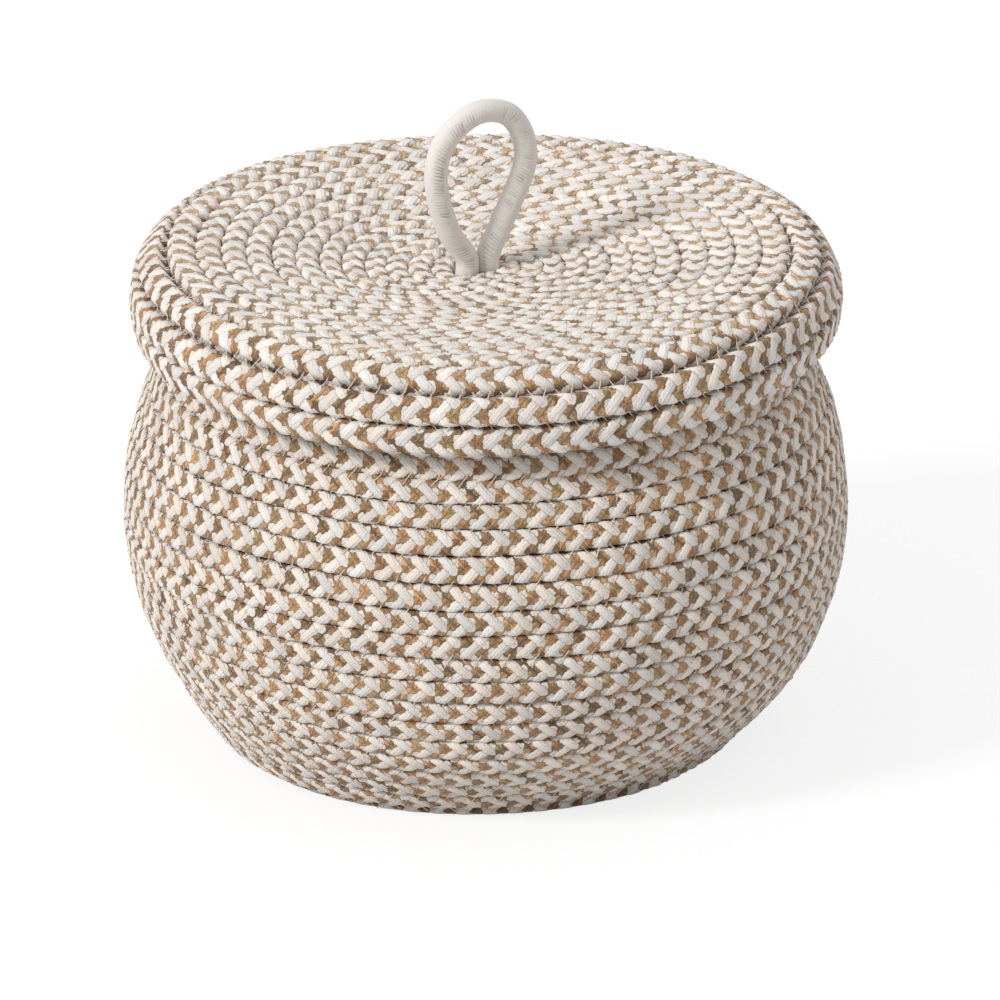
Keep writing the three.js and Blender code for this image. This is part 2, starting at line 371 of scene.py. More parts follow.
class YarnGroups:
    """The effects that the finishes share: the braid's strands, knitted stitches and cotton fuzz."""

    number = "NodeSocketFloat"
    color = "NodeSocketColor"
    vector = "NodeSocketVector"
    raggedness = 0.42  # range in which the strands' edges wander, as a share of their width

    def __init__(self) -> None:
        """Builds each group once."""
        self.braid = self._braid()
        self.knit = self._knit()
        self.fuzz = self._fuzz()

    def _braid(self) -> bpy.types.NodeTree:
        """Builds the group that colours each strand where it lies on top, over two and under two, and
        paints shade into its creases.

        Returns:
            The group. Its Place input holds rows and columns of the braid.
        """
        g = GroupBuilder(
            "braided yarn",
            {"Place": self.vector, "Seam": self.number, "Light": self.color, "Dark": self.color,
             "Other Light": self.color, "Other Dark": self.color, "Light Crease": self.color,
             "Dark Crease": self.color, "Waist": self.number, "Yarns": self.number,
             "Variation": self.number},
            {"Color": self.color, "Relief": self.number},
        )
        place = g.given("Place")
        row, column, _ = g.split(place)
        # The strands that lean each way are counted across, and whole numbers are their middles
        ragged_one = (g.noise(place, 1.7, 1) - 0.5) * self.raggedness
        ragged_two = (g.noise(place, 2.3, 1) - 0.5) * self.raggedness
        first = (row - column) * 0.5 + ragged_one
        second = (row + column) * 0.5 + ragged_two
        first_strand = (first + 0.5).floor()
        second_strand = (second + 0.5).floor()
        top = (second_strand - first_strand).modulo(REPEAT).below(1.5)
        # A dark strand is thin where it crosses another, which shows to both sides of it
        thin = top.choose(first_strand, second_strand).modulo(2).below(0.5)
        beside = abs(top.choose(first - first_strand, second - second_strand)) * 2
        ahead = abs(top.choose(second - second_strand, first - first_strand)) * 2
        room = g.given("Waist") + (1 - g.given("Waist")) * ahead ** WIDENING
        under = thin * (1 - beside.below(room))
        # The strand that shows, the place across it, and the place along the stretch of it that
        # lies on top, from that stretch's middle
        shown = abs(top - under)
        strand = shown.choose(first_strand, second_strand)
        across = shown.choose(first - first_strand, second - second_strand)
        run = shown.choose(second - first_strand - 0.5, second_strand - first - 2.5)
        stretch = ((run + REPEAT / 2) / REPEAT).floor()
        along = g.wrap(run, -REPEAT / 2, REPEAT / 2)
        dark = strand.modulo(2).below(0.5)
        width = under.choose(1.0, 1 - dark * (1 - room))
        dome = 1 - (abs(across) * 2 / width) ** FULLNESS
        dome = dome * (1 - (abs(along) ** 3) * (1 - under) * 0.6)
        # Each stretch of a strand has its own tone and hue, and each of its yarns its own tone
        tint = g.chance(strand, stretch, shown)
        hue = g.chance(strand, stretch, shown + 5)
        bend = (along * 2 + tint * TURN).sine() * 0.05
        yarn_place = (across + bend + 0.5) * (g.given("Yarns") - dark)
        yarn_tint = g.chance(strand, stretch, yarn_place.floor() + shown * 31)
        groove = abs((yarn_place * math.pi).sine()) ** 0.8
        shade = (tint - 0.5) * 1.2 + (yarn_tint - 0.5) * (dark * 0.6 + 0.3)
        shade = 1 + shade * g.given("Variation") * (dark * 1.4 + 0.6)
        brown = g.mix_color(hue, g.given("Dark"), g.given("Other Dark"))
        pale = g.mix_color(hue, g.given("Light"), g.given("Other Light"))
        base = g.mix_color(dark, pale, brown)
        lit = g.toned(base, shade)
        # Painted shade: it darkens towards the crease colours at its edges, where it dives, between
        # its yarns, where the strand beneath shows and in the rope's seams, all places where shade
        # falls
        crease = g.mix_color(dark, g.given("Light Crease"), g.given("Dark Crease"))
        reach = 1.1 + (yarn_tint - 0.5) * 0.6
        tip = 1 - (abs(along) / reach).ramp(0.8, 1.3) * (dark * 0.35 + 0.25) * (1 - under)
        line = (1 - groove) * (dark * 0.28 + 0.07)
        # The seam mark adds painted shade in the seams, most on the dark strands
        seam = g.given("Seam") * (dark * 0.62 + 0.1)
        depth = dome.ramp(-0.08, 0.26) * (1 - line) * tip * (1 - seam) * (1 - under * 0.12)
        g.give("Color", g.mix_color(depth, crease, lit))
        relief = groove * dome.ramp(0.0, 0.4) * tip * (dark * 0.3 + 0.2)
        g.give("Relief", dome * 0.5 + relief - under * 0.2)
        return g.tree

    def _knit(self) -> bpy.types.NodeTree:
        """Builds the group of a knitted cord cover: smooth, with one band of small ribs.

        Returns:
            The group. Its Place input holds ribs along the cord and turns from the band's middle.
        """
        g = GroupBuilder(
            "knitted cover",
            {"Place": self.vector, "Slant": self.number, "Band": self.number},
            {"Relief": self.number, "Gap": self.number},
        )
        rib, turn, _ = g.split(g.given("Place"))
        bent = rib + turn * g.given("Slant") + (g.noise(g.given("Place"), 0.9, 1) - 0.5) * 1.2
        uneven = g.chance(bent.floor(), 3.0, 7.0)
        beside = abs(turn + (uneven - 0.5) * 0.05) / g.given("Band")
        wave = abs((bent * math.pi).sine())
        patches = g.noise(g.given("Place"), 0.09, 1).ramp(0.4, 0.58)
        ribbed = (1 - beside.ramp(0.3, 1.0)) * (uneven * 0.8 + 0.2) * (patches * 0.75 + 0.25)
        # The gaps between the ribs dip in the relief, and the cord's finish paints shade into them
        gap = (1 - wave) * ribbed
        g.give("Relief", 1 - gap)
        g.give("Gap", gap)
        return g.tree

    def _fuzz(self) -> bpy.types.NodeTree:
        """Builds the group of loose cotton fibres: fine grain and slow unevenness of tone.

        Returns:
            The group.
        """
        g = GroupBuilder(
            "cotton fuzz",
            {"Place": self.vector, "Fine": self.number, "Amount": self.number},
            {"Relief": self.number, "Tone": self.number},
        )
        place = g.given("Place")
        grain = g.noise(place, g.given("Fine"), 3)
        slow = g.noise(place, 34.0, 1)
        g.give("Relief", grain)
        g.give("Tone", 1 + ((grain - 0.5) * 0.9 + (slow - 0.5) * 0.5) * g.given("Amount"))
        return g.tree


# Finishes


class Finish:
    """A material under construction: a matt Principled shader and its tree."""

    def __init__(self, name: str, roughness: float, sheen: float, specular: float) -> None:
        """Makes the material.

        Args:
            name: the material's name.
            roughness: of the shader.
            sheen: share of the fuzz's light at the edges.
            specular: level of the mirror-like part.
        """
        self.material = bpy.data.materials.new(name)
        self.material.use_nodes = True
        self.graph = Graph(self.material.node_tree)
        self.shader = self.material.node_tree.nodes["Principled BSDF"]
        self.shader.inputs["Roughness"].default_value = roughness
        self.shader.inputs["Sheen Weight"].default_value = sheen
        self.shader.inputs["Sheen Roughness"].default_value = 0.6
        self.shader.inputs["Specular IOR Level"].default_value = specular

    def place_group(self, tree: bpy.types.NodeTree, **inputs: object) -> dict[str, Formula]:
        """Places a shared group.

        Args:
            tree: the group.
            inputs: its values, by the socket's name with _ for a space.

        Returns:
            What the group puts out, by name.
        """
        node = self.graph.node("ShaderNodeGroup", node_tree=tree)
        for name, value in inputs.items():
            self.graph.put(node.inputs[name.replace("_", " ")], value)
        return {output.name: Formula(self.graph, output) for output in node.outputs}

    def object_place(self) -> bpy.types.NodeSocket:
        """Gives the Object coordinates."""
        return self.graph.node("ShaderNodeTexCoord").outputs["Object"]

    def map_place(self) -> bpy.types.NodeSocket:
        """Gives the coordinates of the braid's or the knit's UV map."""
        return self.graph.node("ShaderNodeUVMap", uv_map=BRAID_MAP).outputs["UV"]

    def seam_mark(self) -> bpy.types.NodeSocket:
        """Gives how close to a seam between two courses a point lies, where the braid paints shade.
        """
        return self.graph.node("ShaderNodeAttribute", attribute_name=SEAM_MARK).outputs["Fac"]

    def color(self, value: Formula) -> None:
        """Joins the base colour."""
        self.graph.put(self.shader.inputs["Base Color"], value)

    def bump(self, height: Formula, depth: float) -> None:
        """Joins a relief.

        Args:
            height: from 0 to 1.
            depth: how deep that is.
        """
        node = self.graph.node("ShaderNodeBump")
        node.inputs["Distance"].default_value = depth * MM
        self.graph.put(node.inputs["Height"], height)
        self.graph.put(self.shader.inputs["Normal"], node.outputs["Normal"])


@dataclass(frozen=True)
class BraidLook:
    """The colours of a rope's light and dark yarns, each of which varies between two, and of the
    shade painted in its creases.
    """

    light: Color = linear(215, 211, 205)
    other_light: Color = linear(221, 209, 197)
    dark: Color = linear(177, 132, 93)
    other_dark: Color = linear(160, 134, 96)
    # Painted shade: the colours that the strands darken towards in their creases, dives and seams
    light_crease: Color = linear(148, 132, 114)
    dark_crease: Color = linear(84, 60, 40)
    waist: float = 0.18  # share of its width that a dark strand keeps where it crosses another


@dataclass(frozen=True)
class BraidedRopeFinish:
    """Braided cotton rope in two yarn colours, matt, with single yarns showing in each strand."""

    name: str
    look: BraidLook = BraidLook()
    inner_look: BraidLook | None = None  # where it differs nearer to the axis, such as a lighter look painted where a top faces the light
    fade: tuple[float, float] = (99.0, 88.0)  # radii between which they change
    yarns: float = 2.7  # side by side in a light strand, and one more than in a dark one
    variation: float = 0.28  # how much the yarns differ in tone
    relief: float = 0.6  # depth of the yarns' relief
    grain: float = 0.12  # the fuzz's share in it

    def build(self, groups: YarnGroups) -> bpy.types.Material:
        """Builds the material.

        Args:
            groups: the effects that the finishes share.

        Returns:
            The material.
        """
        finish = Finish(self.name, roughness=0.93, sheen=0.18, specular=0.18)
        braid = finish.place_group(
            groups.braid, Place=finish.map_place(), Seam=finish.seam_mark(), Yarns=self.yarns,
            Variation=self.variation, **self._look_inputs(finish),
        )
        fuzz = finish.place_group(
            groups.fuzz, Place=finish.object_place(), Fine=2100.0, Amount=0.24)
        finish.color(finish.graph.toned(braid["Color"], fuzz["Tone"]))
        finish.bump(braid["Relief"] + fuzz["Relief"] * self.grain, self.relief)
        return finish.material

    def _look_inputs(self, finish: Finish) -> dict[str, object]:
        """Gives the values of the braid's inputs that follow the look.

        Args:
            finish: the material under construction.

        Returns:
            The values, by the input's name with _ for a space.
        """
        names = [part.name for part in fields(BraidLook)]
        if self.inner_look is None:
            return {name.title(): getattr(self.look, name) for name in names}
        graph = finish.graph
        x, y, _ = graph.split(finish.object_place())
        radius = (x * x + y * y) ** 0.5
        inside = 1 - radius.ramp(self.fade[1] * MM, self.fade[0] * MM)
        inputs = {}
        for name in names:
            outer, inner = getattr(self.look, name), getattr(self.inner_look, name)
            mix = graph.mix if isinstance(outer, float) else graph.mix_color
            inputs[name.title()] = mix(inside, outer, inner)
        return inputs


@dataclass(frozen=True)
class ThreadFinish:
    """Thin beige sewing thread, with a slight shine and the slant of its twist."""

    name: str
    light: Color = linear(216, 199, 178)
    shade: Color = linear(178, 156, 132)
    relief: float = 0.06  # depth between its plies

    def build(self, groups: YarnGroups) -> bpy.types.Material:
        """Builds the material.

        Args:
            groups: the effects that the finishes share.

        Returns:
            The material.
        """
        finish = Finish(self.name, roughness=0.6, sheen=0.05, specular=0.3)
        graph = finish.graph
        along, around, _ = graph.split(finish.map_place())
        ply = abs(((along + around) * math.pi).sine())
        fuzz = finish.place_group(
            groups.fuzz, Place=finish.object_place(), Fine=1500.0, Amount=0.12)
        color = graph.mix_color(ply.ramp(0.0, 0.7), self.shade, self.light)
        finish.color(graph.toned(color, fuzz["Tone"]))
        finish.bump(ply, self.relief)
        return finish.material


@dataclass(frozen=True)
class CordFinish:
    """The loop's knitted cotton cover, off-white and matt, darker between its stitches, where shade
    is painted.
    """

    name: str
    light: Color = linear(216, 211, 205)
    # Painted shade in the gaps between the ribs
    gap: Color = linear(160, 148, 135)
    slant: float = 5.0  # ribs that one rib would cross in a whole turn round the cord
    band: float = 0.11  # turns from the middle of the ribbed band to its edge
    relief: float = 0.22  # depth between the ribs
    grain: float = 0.3  # the fuzz's share in it

    def build(self, groups: YarnGroups) -> bpy.types.Material:
        """Builds the material.

        Args:
            groups: the effects that the finishes share.

        Returns:
            The material.
        """
        finish = Finish(self.name, roughness=0.9, sheen=0.25, specular=0.2)
        graph = finish.graph
        knit = finish.place_group(
            groups.knit, Place=finish.map_place(), Slant=self.slant, Band=self.band)
        fuzz = finish.place_group(
            groups.fuzz, Place=finish.object_place(), Fine=1800.0, Amount=0.06)
        color = graph.mix_color(knit["Gap"], self.light, self.gap)
        finish.color(graph.toned(color, fuzz["Tone"]))
        finish.bump(knit["Relief"] + fuzz["Relief"] * self.grain, self.relief)
        return finish.material


class Finishes:
    """All the object's materials, each built once."""

    def __init__(self) -> None:
        """Builds the groups and the materials."""
        groups = YarnGroups()
        self.basket_rope = BraidedRopeFinish("basket rope").build(groups)
        rim = BraidLook(
            light=linear(219, 215, 210), other_light=linear(225, 214, 203), waist=0.32,
        )
        # The top's look is lighter, painted light where the lid's top faces the light from above,
        # with lighter painted shade in its creases and paler dark yarns
        top = BraidLook(
            light=linear(222, 219, 214), other_light=linear(227, 217, 207),
            dark=linear(194, 161, 127), other_dark=linear(182, 159, 127),
            light_crease=linear(190, 178, 164), dark_crease=linear(142, 117, 92), waist=0.26,
        )
        self.lid_rope = BraidedRopeFinish("lid rope", rim, inner_look=top).build(groups)
        self.thread = ThreadFinish("sewing thread").build(groups)
        self.cord = CordFinish("white cord").build(groups)


# Meshes


class Diagonals(Enum):
    """How the four-sided faces of a rolled grid are halved."""

    NONE = "left whole"
    CROSSED = "along the strands, which cross"


@dataclass(frozen=True)
class Tube:
    """A closed tube rolled from a grid.

    The arrays have one row for each place round the tube, the last the same as the first, and one
    column for each ring along it.
    """

    points: Array
    places: Array
    diagonals: Diagonals = Diagonals.NONE
    corner: tuple[int, int] = (0, 0)  # number of the first ring and of the first place round it
    seams: Array | None = None  # 1 where the tube meets its neighbours, 0 away from them

    def build(self, name: str, material: bpy.types.Material) -> bpy.types.Object:
        """Builds the tube's object.

        Args:
            name: the piece's name.
            material: its finish.

        Returns:
            The object, which stands in the scene.
        """
        mesh = bpy.data.meshes.new(name)
        self._lay_grid(mesh)
        self._close(mesh)
        mesh.shade_smooth()
        mesh.materials.append(material)
        piece = bpy.data.objects.new(name, mesh)
        bpy.context.scene.collection.objects.link(piece)
        log.info("%s: %d faces", name, len(mesh.polygons))
        return piece

    def _lay_grid(self, mesh: bpy.types.Mesh) -> None:
        """Makes the grid, with its points where they belong, its UV map and its marks.

        Args:
            mesh: the empty mesh that it goes into.
        """
        around, rings, _ = self.points.shape
        grid = bmesh.new()
        grid.loops.layers.uv.new(BRAID_MAP)
        bmesh.ops.create_grid(
            grid, x_segments=rings - 1, y_segments=around - 1, size=1, calc_uvs=True)
        grid.to_mesh(mesh)
        grid.free()
        mesh.vertices.foreach_set("co", (self.points * MM).astype(np.float32).ravel())
        vertex = np.empty(len(mesh.loops), np.int32)
        mesh.loops.foreach_get("vertex_index", vertex)
        places = self.places.reshape(-1, 2)[vertex].astype(np.float32)
        mesh.uv_layers[BRAID_MAP].data.foreach_set("uv", places.ravel())
        if self.seams is not None:
            mark = mesh.attributes.new(SEAM_MARK, "FLOAT", "POINT")
            mark.data.foreach_set("value", self.seams.astype(np.float32).ravel())

    def _close(self, mesh: bpy.types.Mesh) -> None:
        """Halves the faces, merges the long edges of the grid and closes both ends.

        Args:
            mesh: the mesh that holds the grid.
        """
        tube = bmesh.new()
        tube.from_mesh(mesh)
        if self.diagonals is Diagonals.CROSSED:
            rings = self.points.shape[1] - 1
            faces = list(tube.faces)
            even = [(index % rings + self.corner[0] - index // rings - self.corner[1]) % 2 == 0
                    for index in range(len(faces))]
            for method, wanted in (("FIXED", True), ("ALTERNATE", False)):
                some = [face for face, is_even in zip(faces, even) if is_even is wanted]
                bmesh.ops.triangulate(tube, faces=some, quad_method=method)
        edge = [vertex for vertex in tube.verts if vertex.is_boundary]
        bmesh.ops.remove_doubles(tube, verts=edge, dist=TOUCHING)
        rims = [side for side in tube.edges if side.is_boundary]
        bmesh.ops.holes_fill(tube, edges=rims, sides=0)
        bmesh.ops.recalc_face_normals(tube, faces=tube.faces)
        tube.to_mesh(mesh)
        tube.free()


def bezier(*corners: tuple[float, float], count: int = 500) -> Array:
    """Samples a Bezier curve.

    Args:
        corners: its control points; two make a straight line.
        count: how many samples.

    Returns:
        The points.
    """
    share = np.linspace(0, 1, count)[:, None]
    layer = [np.tile(np.array(corner, float), (count, 1)) for corner in corners]
    while len(layer) > 1:
        layer = [a * (1 - share) + b * share for a, b in zip(layer, layer[1:])]
    return layer[0]


def tube_round(path: Array, radius: Array, side_way: Array, around: int, rows: Array,
               columns: float) -> Tube:
    """Makes a round tube along a path.

    Args:
        path: centres, one for each ring.
        radius: of each ring.
        side_way: a direction for each ring, roughly square to the path.
        around: sides of the tube.
        rows: the UV map's count along the tube, one for each ring.
        columns: the UV map's count once round it.

    Returns:
        The tube.
    """
    ahead = np.gradient(path, axis=0)
    ahead /= np.linalg.norm(ahead, axis=1, keepdims=True)
    side = side_way - ahead * np.sum(side_way * ahead, axis=1, keepdims=True)
    side /= np.linalg.norm(side, axis=1, keepdims=True)
    other = np.cross(ahead, side)
    turn = np.linspace(0, TURN, around + 1)[:, None, None]
    points = path + (side * np.cos(turn) + other * np.sin(turn)) * radius[:, None]
    points[-1] = points[0]
    share = np.linspace(0, columns, around + 1)[:, None]
    places = np.stack(np.broadcast_arrays(rows[None, :], share), axis=-1)
    return Tube(points, places)


# The rope and its way


@dataclass(frozen=True)
class Rope:
    """The braided rope: the size of its strands."""

    room: float = 7.65  # between neighbouring courses that leave the rope as wide as it is thick
    row: float = 1.91  # rope length of one row of the braid
    columns: int = 12  # round the rope
    samples: int = 2  # of the mesh for each row and column
    crease: float = 3.38  # radius where strands meet
    crown: float = 4.08  # radius on top of a strand
    dip: float = 0.5  # how much lower a strand lies where it dives
    waist: float = 0.18  # share of its width that a dark strand keeps where it crosses another
    dark_height: float = 0.85  # of a dark strand, as a share of a light one's
    edge_height: float = 0.45  # of a light strand's edges, and of one below a dark strand
    squareness: float = 6.5  # power of the section's outline, which is 2 for a circle

    def height(self, first: Array, second: Array) -> Array:
        """Gives how high the top strand lies, from 0 in a crease to 1.

        Args:
            first: count of strands that lean one way.
            second: count of strands that lean the other way.

        Returns:
            The height, the greatest of those beside a point on a strand's edge.
        """
        nudge = 1e-3
        best = np.zeros_like(first)
        for a in (first - nudge, first + nudge):
            for b in (second - nudge, second + nudge):
                best = np.maximum(best, self._top(a, b))
        return best

    def _top(self, a: Array, b: Array) -> Array:
        """Gives the height of the strand on top, over two and under two.

        Args:
            a: count of strands that lean one way.
            b: count of strands that lean the other way.

        Returns:
            The height, from 0 in a crease to 1.
        """
        a_strand = np.floor(a + 0.5)
        b_strand = np.floor(b + 0.5)
        is_first = (b_strand - a_strand) % REPEAT < 1.5
        dark = np.where(is_first, a_strand, b_strand) % 2 == 0
        across = np.where(is_first, a - a_strand, b - b_strand)
        across_under = np.where(is_first, b - b_strand, a - a_strand)
        run = np.where(is_first, b - a_strand - 0.5, b_strand - a - 2.5)
        along = (run + REPEAT / 2) % REPEAT - REPEAT / 2
        ahead = (2 * np.abs(across_under)).clip(0, 1)
        room = self.waist + (1 - self.waist) * ahead ** WIDENING
        dive = 1 - self.dip * np.abs(along).clip(0, 1) ** 3
        thin = self._dome(across / room) * dive * self.dark_height
        thick = self.edge_height + (1 - self.edge_height) * self._dome(across) * dive
        under = self._dome(across_under) * self.edge_height
        return np.where(dark, np.maximum(thin, under), thick)

    def _dome(self, across: Array) -> Array:
        """Gives the height of a strand's section, from 0 at its edges to 1."""
        return 1 - (2 * np.abs(across)).clip(0, 1) ** FULLNESS


class Profile:
    """A curve in the (radius, height) plane, read by its length."""

    def __init__(self, *curves: Array, lead: float = 0.0) -> None:
        """Joins curves.

        Args:
            curves: points of each curve, which starts where the last ends.
            lead: length before the place that counts as 0.
        """
        self.track = np.concatenate([curves[0], *(curve[1:] for curve in curves[1:])])
        steps = np.hypot(*np.diff(self.track, axis=0).T)
        self.lengths = np.concatenate([[0], np.cumsum(steps)]) - lead
        self.begin = float(self.lengths[0])
        self.end = float(self.lengths[-1])

    def at(self, length: Array) -> tuple[Array, Array]:
        """Gives the radius and height at a length."""
        return (np.interp(length, self.lengths, self.track[:, 0]),
                np.interp(length, self.lengths, self.track[:, 1]))

    def direction(self, length: Array, reach: float = 0.3) -> tuple[Array, Array]:
        """Gives the direction at a length.

        Args:
            length: where it is read.
            reach: how far to both sides it is measured.

        Returns:
            Its parts along the radius and the height.
        """
        inside = np.clip(length, self.begin + reach, self.end - reach)
        radius_0, height_0 = self.at(inside - reach)
        radius_1, height_1 = self.at(inside + reach)
        size = np.hypot(radius_1 - radius_0, height_1 - height_0)
        return (radius_1 - radius_0) / size, (height_1 - height_0) / size


class Unevenness:
    """A smooth wandering along a rope, mostly between -1 and 1, the same on every run."""

    def __init__(self, seed: int, shortest: float, longest: float, waves: int = 7) -> None:
        """Draws the waves.

        Args:
            seed: of the random numbers.
            shortest: length of the shortest wave.
            longest: length of the longest wave.
            waves: how many waves are added up.
        """
        draw = np.random.default_rng(seed)
        self.lengths = np.exp(draw.uniform(math.log(shortest), math.log(longest), waves))
        self.starts = draw.uniform(0, TURN, waves)

    def at(self, run: Array) -> Array:
        """Gives the value at a length along the rope.

        Args:
            run: the length.

        Returns:
            The value.
        """
        total = sum(np.sin(run * (TURN / length) + start)
                    for length, start in zip(self.lengths, self.starts))
        return total / math.sqrt(len(self.lengths) * 2)


class Pace:
    """How far along its profile a coil is after each number of turns."""

    beyond = 40.0  # turns for which the first and the last pitch go on

    def __init__(self, anchor: float, *stretches: tuple[float, float]) -> None:
        """Lays out the marks.

        Args:
            anchor: profile length at turn 0, where the coil stands at the start angle.
            stretches: the turn that each one reaches, and its pitch.
        """
        first = stretches[0][1]
        self.turns = [-self.beyond, 0.0]
        self.lengths = [anchor - self.beyond * first, anchor]
        for up_to, pitch in (*stretches, (stretches[-1][0] + self.beyond, stretches[-1][1])):
            self.lengths.append(self.lengths[-1] + (up_to - self.turns[-1]) * pitch)
            self.turns.append(up_to)

    def length(self, turn: Array | float) -> Array:
        """Gives the profile length after a number of turns."""
        return np.interp(turn, self.turns, self.lengths)

    def turn(self, length: Array | float) -> Array:
        """Gives the number of turns at a profile length."""
        return np.interp(length, self.lengths, self.turns)


@dataclass
class Winding:
    """The way of a rope: round the axis, one course further along the profile with each turn."""

    profile: Profile
    pace: Pace
    begin: float  # profile length where the rope starts
    end: float  # profile length where it stops
    start_angle: float = math.radians(85)  # where turn 0 is
    shift: Callable[[Array, Array], Array] | None = None  # moves the rope along the profile
    give_way: Callable[[Array], Array] | None = None  # moves points aside
    step: float = 0.02  # profile length between two measures of the rope's length

    def __post_init__(self) -> None:
        """Measures the rope's length along the way."""
        self._stops = np.arange(self.begin, self.end + self.step, self.step)
        radius, _ = self.profile.at(self._stops)
        swept = np.diff(self.pace.turn(self._stops)) * TURN * (radius[1:] + radius[:-1]) / 2
        self._runs = np.concatenate([[0], np.cumsum(np.hypot(swept, self.step))])
        self.total = float(self._runs[-1])

    def stop_at(self, run: Array) -> Array:
        """Gives the profile length at a rope length."""
        return np.interp(run, self._runs, self._stops)

    def run_at(self, stop: Array) -> Array:
        """Gives the rope length at a profile length."""
        return np.interp(stop, self._stops, self._runs)

    def middle(self, stop: Array) -> Array:
        """Gives the profile length that the rope really lies at."""
        return stop if self.shift is None else stop + self.shift(stop, self.angle(stop))

    def angle(self, stop: Array) -> Array:
        """Gives the angle round the axis."""
        return self.start_angle + self.pace.turn(stop) * TURN

    def beside(self, stop: Array, courses: int) -> Array:
        """Gives how far along the profile another course lies from this one.

        Args:
            stop: profile length of the way there.
            courses: how many courses further, or less than 0 for courses before.

        Returns:
            The distance, less than 0 for courses before.
        """
        return self.middle(self.pace.length(self.pace.turn(stop) + courses)) - self.middle(stop)

    def spacing(self, stop: Array) -> Array:
        """Gives the mean distance to the two neighbouring courses."""
        return (self.beside(stop, 1) - self.beside(stop, -1)) / 2

    def place(self, stop: Array, along: Array, out: Array, ahead: Array | float = 0.0) -> Array:
        """Gives points beside the way.

        Args:
            stop: profile length of the way there.
            along: how far from there, straight on.
            out: how far from the profile, outwards.
            ahead: how far from there along the profile.

        Returns:
            The points, kept above the surface that the object stands on.
        """
        angle = self.angle(stop)
        middle = self.middle(stop) + ahead
        radius, height = self.profile.at(middle)
        way_r, way_z = self.profile.direction(middle)
        radius = radius + way_r * along + way_z * out
        height = height + way_z * along - way_r * out
        points = np.stack(
            [radius * np.cos(angle), radius * np.sin(angle), stand(height)], axis=-1)
        if self.give_way is not None:
            points = self.give_way(points)
        return SETTLING.move(points)

    def outward(self, stop: Array) -> Array:
        """Gives the direction away from the profile."""
        nowhere = np.zeros_like(stop)
        return self.place(stop, nowhere, nowhere + 1) - self.place(stop, nowhere, nowhere)


def stand(height: Array, softness: float = 0.6) -> Array:
    """Presses what would be below the surface that the object stands on flat against it."""
    pressed = softness * np.exp((np.minimum(height, softness) - softness) / softness)
    return np.where(height < softness, pressed, height)


def smooth_step(value: Array, low: float, high: float) -> Array:
    """Rises smoothly from 0 at one value to 1 at another."""
    share = ((value - low) / (high - low)).clip(0, 1)
    return share * share * (3 - 2 * share)


@dataclass(frozen=True)
class Settling:
    """How the soft basket and its lid have settled, at the front, at the back and at the base."""

    still_below: float = 92.0  # height below which the front and the back stay
    moved_above: float = 122.0  # height from which they move fully
    sag: float = 3.3  # how far the front sinks
    front: float = 100.0  # how far from the axis the front is
    back: float = 0.45  # how far the middle of the back rises
    back_corners: float = 1.1  # how much more the places halfway to the sides rise
    back_edge: float = 0.3  # how far behind the axis the back rises fully, as a share of the radius
    back_radii: tuple[float, float] = (20.0, 90.0)  # where the back stays, and where it rises fully
    base: float = 6.0  # how far the base's edge is drawn in
    base_top: float = 28.0  # height from which nothing is drawn in
    base_radius: float = 75.0
    base_bearing: float = math.radians(-60)  # where round the axis it is drawn in most

    def move(self, points: Array) -> Array:
        """Moves any points of the basket or the lid to where they have settled."""
        return self._round_base(self._lift_back(self._sink_front(points)))

    def _sink_front(self, points: Array) -> Array:
        """Lowers the front of the neck and of the lid.

        Args:
            points: any points of the basket or the lid.

        Returns:
            The points.
        """
        share = (-points[..., 1] / self.front).clip(0, 1) ** 1.5
        result = points.copy()
        result[..., 2] -= self.sag * share * self._height_share(points)
        return result

    def _lift_back(self, points: Array) -> Array:
        """Raises the back of the neck and of the lid, most of all to both sides of its middle.

        Args:
            points: any points of the basket or the lid.

        Returns:
            The points.
        """
        radius = self._radius(points)
        across, behind = points[..., 0] / radius, points[..., 1] / radius
        level = self.back + self.back_corners * (2 * across * behind) ** 2
        share = smooth_step(behind, 0.0, self.back_edge) * smooth_step(radius, *self.back_radii)
        result = points.copy()
        result[..., 2] += level * share * self._height_share(points)
        return result

    def _round_base(self, points: Array) -> Array:
        """Draws in the base where its edge is rounder, at the front right.

        Args:
            points: any points of the basket or the lid.

        Returns:
            The points.
        """
        toward = (points[..., 0] * math.cos(self.base_bearing)
                  + points[..., 1] * math.sin(self.base_bearing)) / self._radius(points)
        share = toward.clip(0, 1) ** 1.5 * (1 - smooth_step(points[..., 2], 0.0, self.base_top))
        result = points.copy()
        result[..., :2] *= (1 - self.base / self.base_radius * share)[..., None]
        return result

    def _height_share(self, points: Array) -> Array:
        """Gives how far points are high enough to sink or rise, from 0 to 1."""
        return smooth_step(points[..., 2], self.still_below, self.moved_above)

    def _radius(self, points: Array) -> Array:
        """Gives the distance from the axis, never quite 0."""
        return np.hypot(points[..., 0], points[..., 1]) + 1e-9


SETTLING = Settling()


